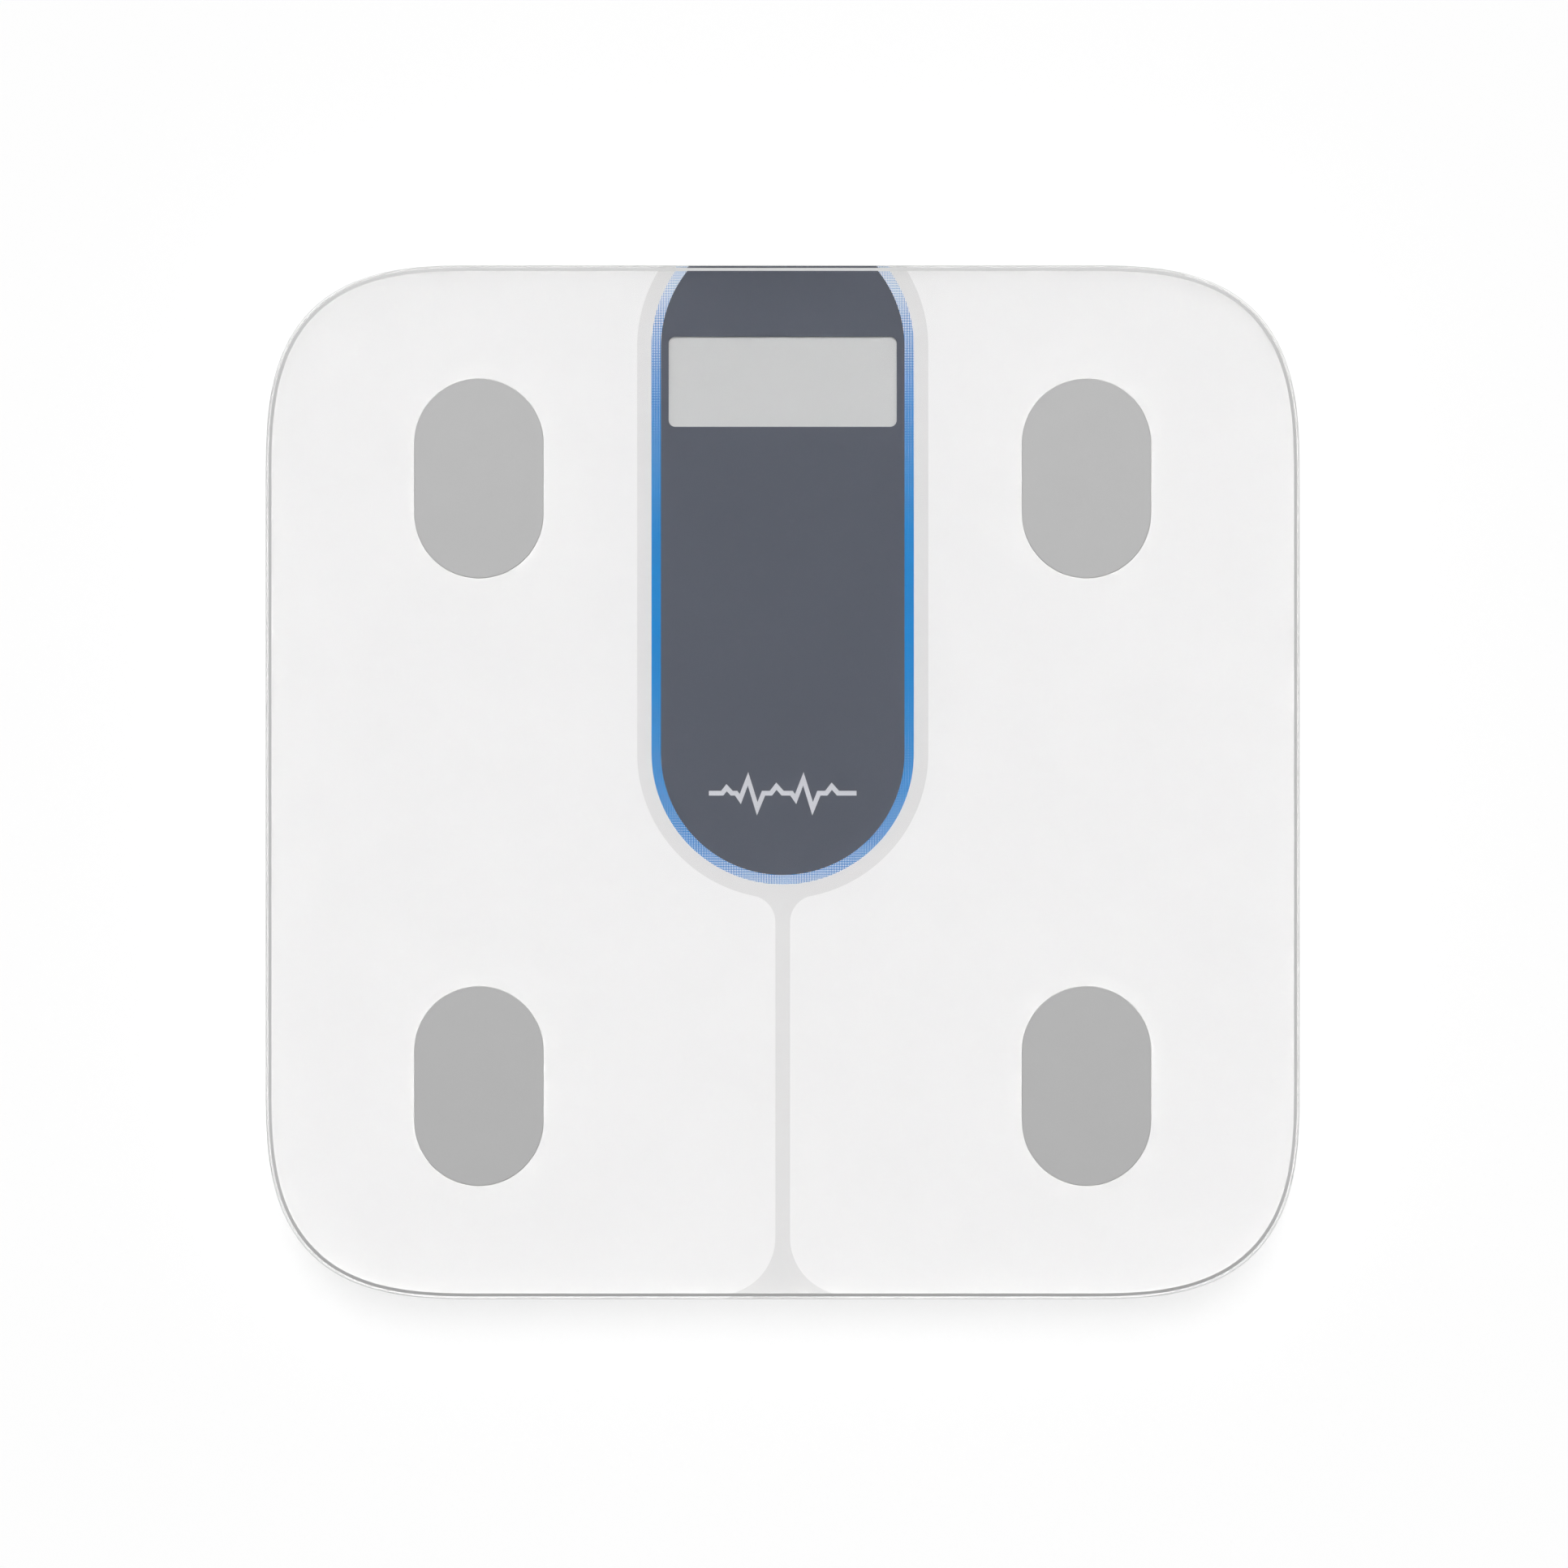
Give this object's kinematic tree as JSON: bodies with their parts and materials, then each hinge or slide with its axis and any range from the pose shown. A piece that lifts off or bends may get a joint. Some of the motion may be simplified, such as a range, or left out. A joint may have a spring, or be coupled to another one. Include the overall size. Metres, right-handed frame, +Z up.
{
  "type": "digital bathroom scale",
  "caption": "Square glass platform scale with soft corners, round-ended steel electrodes, a display behind the glass and weighing feet under a moulded base.",
  "frame": {"origin": "on the floor under the middle of the scale, which stands on its feet", "axes": "+Z up, out of the platform; +Y from the heel end towards the display and toe end; +X to the user's right"},
  "size_m": [0.28, 0.28, 0.025],
  "materials": {
    "clear_glass": "clear toughened glass, polished, with a ground chamfer round the top edge",
    "back_print": "printed film: white ground, grey arch, dotted blue ring and dark grey panel",
    "foam_tape": "dull foam mounting tape",
    "white_housing": "white moulded plastic with a fine spark texture",
    "electrode_steel": "stainless steel, bead blasted to an even satin",
    "nickel_plate": "bright nickel plate",
    "cell_steel": "ground spring steel",
    "foot_rubber": "dull grey rubber",
    "display_pane": "unlit reflective display, light grey",
    "circuit_board": "green solder mask",
    "black_moulding": "black moulded plastic",
    "battery_sleeve": "glossy shrink sleeve, plain",
    "label_film": "matt white label, blank",
    "grey_cable": "light grey insulation",
    "red_lead": "red insulation",
    "black_lead": "black insulation"
  },
  "bodies": {
    "scale_body": {"glass_platform": "clear_glass", "printed_film": "back_print", "mounting_tape": "foam_tape", "base_shell": "white_housing", "electrode_left_toe": "electrode_steel", "electrode_nut_left_toe": "nickel_plate", "electrode_lead_left_toe": "black_lead", "foot_pad_left_toe": "foot_rubber", "foot_holder_left_toe": "white_housing", "load_cell_left_toe": "cell_steel", "load_cell_cable_left_toe": "grey_cable", "electrode_left_heel": "electrode_steel", "electrode_nut_left_heel": "nickel_plate", "electrode_lead_left_heel": "black_lead", "foot_pad_left_heel": "foot_rubber", "foot_holder_left_heel": "white_housing", "load_cell_left_heel": "cell_steel", "load_cell_cable_left_heel": "grey_cable", "electrode_right_toe": "electrode_steel", "electrode_nut_right_toe": "nickel_plate", "electrode_lead_right_toe": "red_lead", "foot_pad_right_toe": "foot_rubber", "foot_holder_right_toe": "white_housing", "load_cell_right_toe": "cell_steel", "load_cell_cable_right_toe": "grey_cable", "electrode_right_heel": "electrode_steel", "electrode_nut_right_heel": "nickel_plate", "electrode_lead_right_heel": "red_lead", "foot_pad_right_heel": "foot_rubber", "foot_holder_right_heel": "white_housing", "load_cell_right_heel": "cell_steel", "load_cell_cable_right_heel": "grey_cable", "display_panel": "display_pane", "display_board": "circuit_board", "display_bezel": "black_moulding", "display_bracket": "black_moulding", "display_ribbon": "grey_cable", "main_board": "circuit_board", "board_screw_1": "nickel_plate", "board_screw_2": "nickel_plate", "board_screw_3": "nickel_plate", "board_screw_4": "nickel_plate", "unit_switch": "black_moulding", "battery_1": "battery_sleeve", "battery_2": "battery_sleeve", "battery_3": "battery_sleeve", "contact_positive": "nickel_plate", "contact_negative": "nickel_plate", "contact_bridge_left": "nickel_plate", "contact_bridge_right": "nickel_plate", "battery_lead_positive": "red_lead", "battery_lead_negative": "black_lead", "rating_label": "label_film"},
    "door": {"battery_door": "white_housing"},
    "button": {"unit_button": "black_moulding"}
  },
  "joints": [
    {"name": "door_hinge", "type": "hinge", "parent": "scale_body", "child": "door", "pos_m": [0, 0.0073, 0.0057], "axis": [1, 0, 0], "range_deg": [0, 95]},
    {"name": "button_press", "type": "slide", "parent": "scale_body", "child": "button", "axis": [0, 0, 1], "range_m": [0, 0.0008], "stiffness_N_per_m": 2000}
  ]
}
